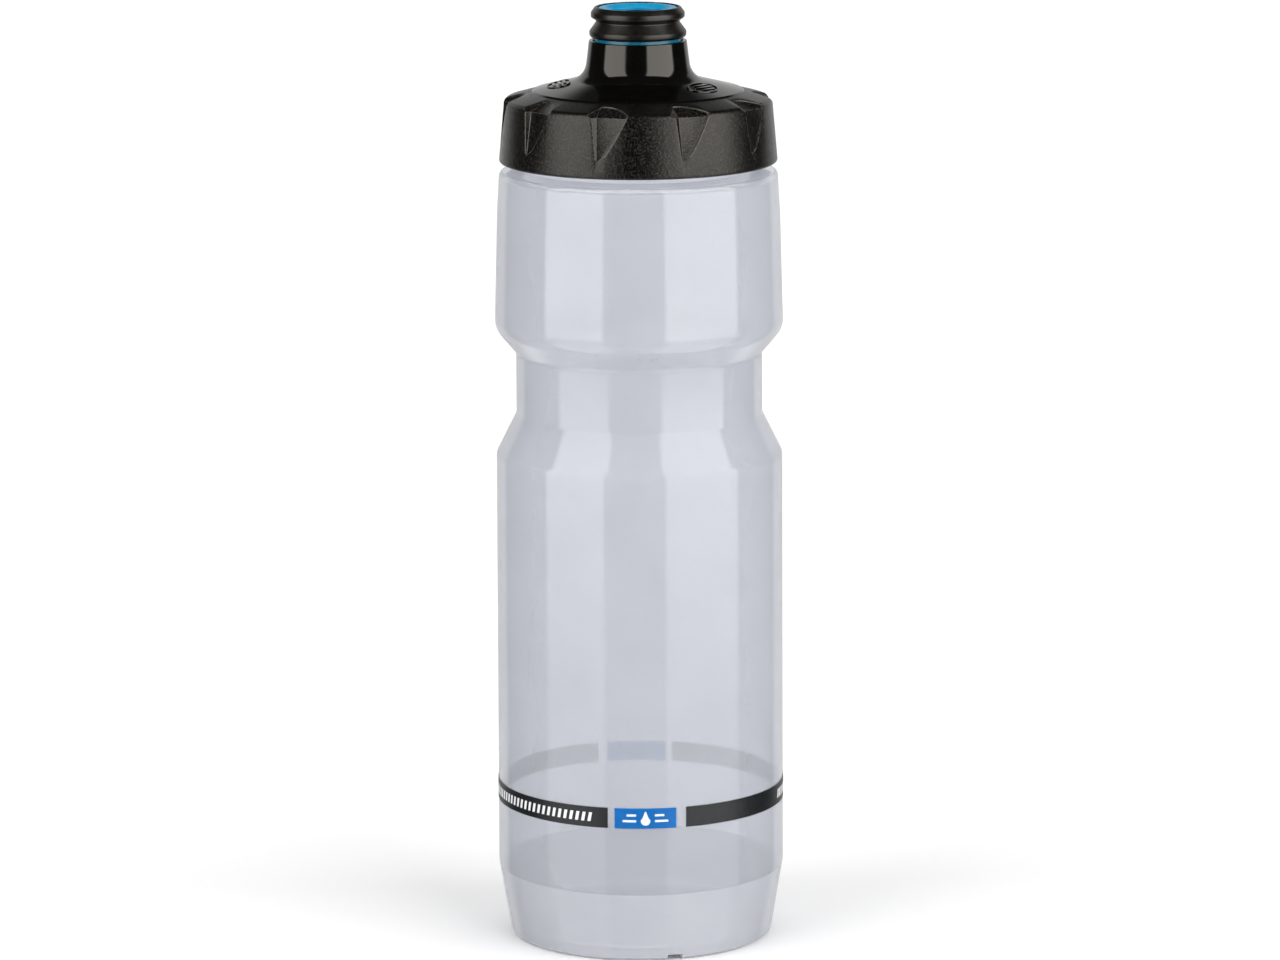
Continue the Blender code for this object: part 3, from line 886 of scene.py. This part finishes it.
def make_plug():
    """The pin that closes the nozzle's seat, held in the tower by a ring and three spokes."""
    middle = (PLUG_RING[0] + PLUG_RING[1]) / 2
    low = PLUG_RING[0] - 0.3
    pin_corners = [
        (0, low, 0),
        (PIN_HUB_R, low, 0.3),
        (PIN_HUB_R, PLUG_RING[1] + 0.3, 0.4),
        (PIN_R, PLUG_RING[1] + 1.5, 0.8),
        (PIN_R, PIN_HEAD[0] - 2.0, 0.8),
        (PIN_HEAD_R, PIN_HEAD[0], 0.3),
        (PIN_HEAD_R, PIN_HEAD[1], 0.6),
        (0, PIN_HEAD[1], 0),
    ]
    ring_inner = PLUG_RING_R - PLUG_RING_WALL
    ring_corners = [
        (ring_inner, PLUG_RING[0], 0.2),
        (PLUG_RING_R, PLUG_RING[0], 0.2),
        (PLUG_RING_R, PLUG_RING[1], 0.2),
        (ring_inner, PLUG_RING[1], 0.2),
    ]
    plug = turned("shutoff_pin", pin_corners, NOZZLE_FACETS, 4)
    ring = turned("plug_ring_form", ring_corners, NOZZLE_FACETS, 2)
    start = PIN_HUB_R - 1
    length = PLUG_RING_R - PLUG_RING_WALL / 2 - start
    places = [placed(index * 360 / SPOKE_COUNT, start + length / 2, middle) for index in range(SPOKE_COUNT)]
    spokes = boxes("plug_spoke_form", places, (SPOKE_WIDTH, length, PLUG_RING[1] - PLUG_RING[0] - 0.6))
    combine(plug, [(ring, "UNION"), (spokes, "UNION")])
    finish(plug, satin_material(), "lid", "black_plug", "shutoff_plug")


def deck_point(azimuth, along, across, lift):
    """A point on the deck near an emblem's centre: along the radius, across it, and above the surface.

    The disc's step is taken a little too high towards the tower, which keeps the emblems proud of it.
    """
    radius = EMBLEM_R + along
    height = deck_height(radius) + DISC_STEP * (DISC_R - radius + EMBLEM_R) / EMBLEM_R + lift
    return on_body(azimuth + math.degrees(across / radius), radius, height)


def oval_ring(mesh_data, azimuth):
    """Add an oval ring that stands on the deck."""
    half_along, half_across = EMBLEM_SIZE
    outline = (
        (EMBLEM_INNER, -EMBLEM_SUNK),
        (EMBLEM_INNER, EMBLEM_LIFT),
        (1.0, EMBLEM_LIFT),
        (1.0, -EMBLEM_SUNK),
    )
    sections = []
    for step in range(EMBLEM_STEPS):
        angle = TURN * step / EMBLEM_STEPS
        section = []
        for share, lift in outline:
            along = half_along * share * math.cos(angle)
            across = half_across * share * math.sin(angle)
            section.append(mesh_data.verts.new(deck_point(azimuth, along, across, lift)))
        sections.append(section)
    for last, following in zip(sections, sections[1:] + sections[:1]):
        bridge(mesh_data, last, following)


def emblem_bar(mesh_data, azimuth, along, length):
    """Add one bar inside an oval ring."""
    width = BAR_HALF_WIDTH
    corners = ((-width, -length), (width, -length), (width, length), (-width, length))
    layers = []
    for lift in (-EMBLEM_SUNK, EMBLEM_LIFT):
        layers.append([mesh_data.verts.new(deck_point(azimuth, along + shift, across, lift))
                       for shift, across in corners])
    low, high = layers
    mesh_data.faces.new(low)
    mesh_data.faces.new(high)
    bridge(mesh_data, low, high)


def make_emblems():
    """Two plain emblems moulded on the deck, left and right of the tower: an oval ring around three bars."""
    mesh_data = bmesh.new()
    for azimuth in EMBLEM_AZIMUTHS:
        oval_ring(mesh_data, azimuth)
        for along, length in EMBLEM_BARS:
            emblem_bar(mesh_data, azimuth, along, length)
    emblems = new_object("deck_ovals", mesh_data)
    soften(emblems, EMBLEM_EDGE)
    finish(emblems, gloss_material(), "lid", "black_lid")


# ---- nozzle

def make_core():
    """The blue slider tube, with its flange, seal groove, stop bead, valve seat and membrane ledge."""
    corners = [
        (CORE_BORE_R, CORE_BOTTOM, 0.2),
        (CORE_FLANGE_R, CORE_BOTTOM, 0.4),
        (CORE_FLANGE_R, SEAL_GROOVE[0], 0.1),
        (SEAL_GROOVE_R, SEAL_GROOVE[0], 0.2),
        (SEAL_GROOVE_R, SEAL_GROOVE[1], 0.2),
        (STOP_BEAD_R, SEAL_GROOVE[1], 0.1),
        (STOP_BEAD_R, STOP_BEAD_TOP, 0.2),
        (CORE_NECK_R, STOP_BEAD_TOP, 0.2),
        (CORE_NECK_R, CORE_STEP_Z, 0.2),
        (CORE_WAIST_R, CORE_STEP_Z, 0),
        (CORE_WAIST_R, CORE_HEAD_Z - 0.8, 0),
        (CORE_HEAD_R, CORE_HEAD_Z, 0.2),
        (CORE_HEAD_R, CORE_TOP, 0),
        (CORE_BORE_R, CORE_TOP, 0),
        (CORE_BORE_R, LEDGE[1], 0),
        (LEDGE_R, LEDGE[1], 0.1),
        (LEDGE_R, LEDGE[0], 0.2),
        (CORE_BORE_R, LEDGE[0] - 0.8, 0.4),
        (CORE_BORE_R, VALVE_SEAT[1] + 1.0, 0.4),
        (VALVE_SEAT_R, VALVE_SEAT[1], 0.3),
        (VALVE_SEAT_R, VALVE_SEAT[0], 0.3),
        (CORE_BORE_R, VALVE_SEAT[0] - 1.0, 0.4),
    ]
    core = turned("slider_core", corners, NOZZLE_FACETS, 3)
    material = rubber_material("blue_plastic", (0.0, 0.15, 0.25), (0.0, 0.18, 0.30), 0.26, 0.34)
    finish(core, material, "nozzle", "blue_core", "nozzle_core")


def make_seal():
    """The O-ring in the slider's groove: a square outline with its corners rounded almost to a circle."""
    middle = sum(SEAL_GROOVE) / 2
    inner = SEAL_GROOVE_R + SEAL_GAP
    half = (SEAL_R - inner) / 2
    fillet = half * 0.95
    low, high = middle - half, middle + half
    corners = [(inner, low, fillet), (SEAL_R, low, fillet), (SEAL_R, high, fillet), (inner, high, fillet)]
    seal = turned("slider_o_ring", corners, NOZZLE_FACETS, 4)
    material = rubber_material("seal_black", (0.010, 0.010, 0.010), (0.018, 0.018, 0.018), 0.45, 0.6)
    finish(seal, material, "nozzle_slide", "seal_rubber", "nozzle_seal")


def make_grip():
    """The soft mouthpiece with its two lips, which wraps the slider's head."""
    inner_low = CORE_NECK_R + SMALL_GAP
    inner_waist = CORE_WAIST_R + SMALL_GAP
    inner_head = CORE_HEAD_R + SMALL_GAP
    corners = [
        (inner_low, GRIP_BOTTOM, 0.15),
        (GRIP_LOWER_R, GRIP_BOTTOM, 0.9),
        (GRIP_LOWER_R, GRIP_LOWER_Z + 0.6, 0.6),
        (GRIP_GROOVE_R, GRIP_GROOVE_Z, 0.35),
        (GRIP_UPPER_R, GRIP_UPPER_Z - 0.6, 0.5),
        (GRIP_UPPER_R, GRIP_UPPER_Z + 0.6, 0.9),
        (GRIP_TOP_R, GRIP_TOP, 0.5),
        (inner_head, GRIP_TOP, 0.1),
        (inner_head, CORE_HEAD_Z - 0.1, 0),
        (inner_waist, CORE_HEAD_Z - 0.9, 0),
        (inner_waist, CORE_STEP_Z + SMALL_GAP, 0),
        (inner_low, CORE_STEP_Z + SMALL_GAP, 0.1),
    ]
    grip = turned("grip_sleeve", corners, NOZZLE_FACETS)
    material = rubber_material("soft_black", (0.0016, 0.0012, 0.0009), (0.0040, 0.0030, 0.0023),
                               0.28, 0.36, WARM)
    finish(grip, material, "nozzle", "soft_grip", "nozzle_grip")


def make_membrane():
    """The dished valve membrane, with two crossed slits."""
    outer = CORE_BORE_R - SMALL_GAP
    low = LEDGE[1] + MEMBRANE_GAP
    high = low + MEMBRANE_THICK
    flat = RING_INNER_R - 0.6
    corners = [
        (0, low - MEMBRANE_DIP, 0),
        (flat * 0.55, low - MEMBRANE_DIP * 0.7, 6),
        (flat - 0.7, low, 1.0),
        (outer, low, 0),
        (outer, high, 0),
        (flat, high, 1.0),
        (flat * 0.55, high - MEMBRANE_DIP * 0.7, 6),
        (0, high - MEMBRANE_DIP, 0),
    ]
    membrane = turned("slit_membrane", corners, NOZZLE_FACETS)
    slits = [boxes(f"membrane_slit_form_{turn}", [placed(turn, 0, low)], (SLIT_LENGTH, SLIT_WIDTH, 6))
             for turn in (45, 135)]
    combine(membrane, [(slit, "DIFFERENCE") for slit in slits])
    material = rubber_material("blue_silicone", (0.0, 0.18, 0.34), (0.0, 0.22, 0.40), 0.34, 0.44)
    finish(membrane, material, "nozzle", "blue_silicone", "valve_membrane")


def make_ring():
    """The ring that clamps the membrane in the slider's mouth."""
    skirt_outer = CORE_BORE_R - SMALL_GAP
    skirt_bottom = LEDGE[1] + MEMBRANE_GAP + MEMBRANE_THICK + MEMBRANE_GAP
    corners = [
        (RING_INNER_R, skirt_bottom, 0),
        (skirt_outer, skirt_bottom, 0),
        (skirt_outer, CORE_TOP + SMALL_GAP, 0),
        (CORE_HEAD_R, CORE_TOP + SMALL_GAP, 0),
        (CORE_HEAD_R, RING_TOP, 0.25),
        (RING_INNER_R + 1.4, RING_TOP, 0.8),
        (RING_INNER_R, RING_TOP - 1.0, 0.3),
    ]
    ring = turned("membrane_clamp", corners, NOZZLE_FACETS)
    material = rubber_material("blue_clamp", (0.0, 0.21, 0.39), (0.0, 0.25, 0.45), 0.28, 0.38)
    finish(ring, material, "nozzle", "blue_ring", "membrane_ring")


# ---- stage

def make_camera():
    """The camera of the photo, without depth of field."""
    camera = bpy.data.objects.new("camera", bpy.data.cameras.new("camera"))
    bpy.context.scene.collection.objects.link(camera)
    pitch = Matrix.Rotation(math.radians(90 - CAMERA_PITCH), 4, "X")
    roll = Matrix.Rotation(math.radians(-CAMERA_ROLL), 4, "Z")
    camera.matrix_world = Matrix.Translation(CAMERA_PLACE) @ pitch @ roll
    camera.data.lens = CAMERA_LENS
    camera.data.sensor_width = SENSOR_WIDTH
    camera.data.clip_end = 100
    bpy.context.scene.camera = camera


def make_floor():
    """A plain pale floor, which reflections and the clear plastic don't show."""
    mesh_data = bmesh.new()
    reach = FLOOR_REACH
    corners = ((-reach, -reach), (reach, -reach), (reach, reach), (-reach, reach))
    mesh_data.faces.new([mesh_data.verts.new((x, y, FLOOR_Z)) for x, y in corners])
    floor = new_object("studio_floor", mesh_data)
    material, _, _ = principled("floor_paper", Base_Color=(0.93, 0.93, 0.93, 1), Roughness=0.9)
    floor.data.materials.append(material)
    floor.visible_glossy = False
    floor.visible_transmission = False


def math_node(tree, operation, first, second=None):
    """A math node on sockets or plain numbers."""
    node = tree.nodes.new("ShaderNodeMath")
    node.operation = operation
    for index, value in enumerate((first, second)):
        if value is None:
            continue
        if isinstance(value, (int, float)):
            node.inputs[index].default_value = value
        else:
            tree.links.new(value, node.inputs[index])
    return node.outputs["Value"]


def product(tree, first, second):
    """Two sockets or numbers multiplied."""
    return math_node(tree, "MULTIPLY", first, second)


def window(tree, value, low, high, blur):
    """1 where value lies between low and high, with blurred ends."""
    rise = spread(tree, value, 0, 1, low - blur, low + blur, "SMOOTHSTEP")
    fall = spread(tree, value, 1, 0, high - blur, high + blur, "SMOOTHSTEP")
    return product(tree, rise, fall)


def lit_area(tree, azimuth, elevation, area, blurs):
    """1 inside an area given by its lowest and highest azimuth and elevation."""
    low, high, bottom, top = area
    across = window(tree, azimuth, low, high, blurs[0])
    upward = window(tree, elevation, bottom, top, blurs[1])
    return product(tree, across, upward)


def add_light(tree, light, shape, strength):
    """Light with a shape of a given strength added to it."""
    return math_node(tree, "ADD", product(tree, shape, strength), light)


def make_world():
    """A dark studio with two tall softboxes and a backdrop. The camera itself sees plain white."""
    world = bpy.data.worlds.new("studio")
    bpy.context.scene.world = world
    world.use_nodes = True
    tree = world.node_tree
    place = tree.nodes.new("ShaderNodeTexCoord")
    axes = tree.nodes.new("ShaderNodeSeparateXYZ")
    tree.links.new(place.outputs["Generated"], axes.inputs["Vector"])
    x, y, z = axes.outputs
    turn = math_node(tree, "ARCTAN2", x, product(tree, y, -1.0))
    azimuth = product(tree, turn, math.degrees(1))
    elevation = product(tree, math_node(tree, "ARCSINE", z), math.degrees(1))
    fade = spread(tree, elevation, *PANEL_FADE)
    light = SURROUND
    for *area, strength in PANELS:
        shape = product(tree, lit_area(tree, azimuth, elevation, area, PANEL_BLUR), fade)
        light = add_light(tree, light, shape, strength)
    *area, strength = BACKDROP
    around = math_node(tree, "ABSOLUTE", azimuth)
    light = add_light(tree, light, lit_area(tree, around, elevation, area, BACKDROP_BLUR), strength)
    bottom, top, blur, strength = BELOW
    light = add_light(tree, light, window(tree, elevation, bottom, top, blur), strength)
    path = tree.nodes.new("ShaderNodeLightPath")
    mix = tree.nodes.new("ShaderNodeMix")
    mix.data_type = "FLOAT"
    tree.links.new(path.outputs["Is Camera Ray"], mix.inputs["Factor"])
    tree.links.new(light, mix.inputs["A"])
    mix.inputs["B"].default_value = SEEN_DIRECTLY
    background = tree.nodes["Background"]
    tree.links.new(mix.outputs["Result"], background.inputs["Strength"])
    background.inputs["Color"].default_value = (1, 1, 1, 1)


def make_overhead():
    """A large soft light above, which doesn't show in reflections."""
    lamp = bpy.data.lights.new("overhead", "AREA")
    lamp.shape = "SQUARE"
    lamp.size = OVERHEAD_SIZE
    lamp.energy = OVERHEAD_POWER
    light = bpy.data.objects.new("overhead", lamp)
    light.location = OVERHEAD_PLACE
    light.visible_glossy = False
    bpy.context.scene.collection.objects.link(light)


for item in list(bpy.data.objects):
    bpy.data.objects.remove(item)
make_camera()
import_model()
make_floor()
make_world()
make_overhead()
make_body()
make_band()
make_motif()
make_lid()
make_gasket()
make_plug()
make_emblems()
make_core()
make_seal()
make_grip()
make_membrane()
make_ring()
bpy.context.scene.view_settings.view_transform = "Standard"
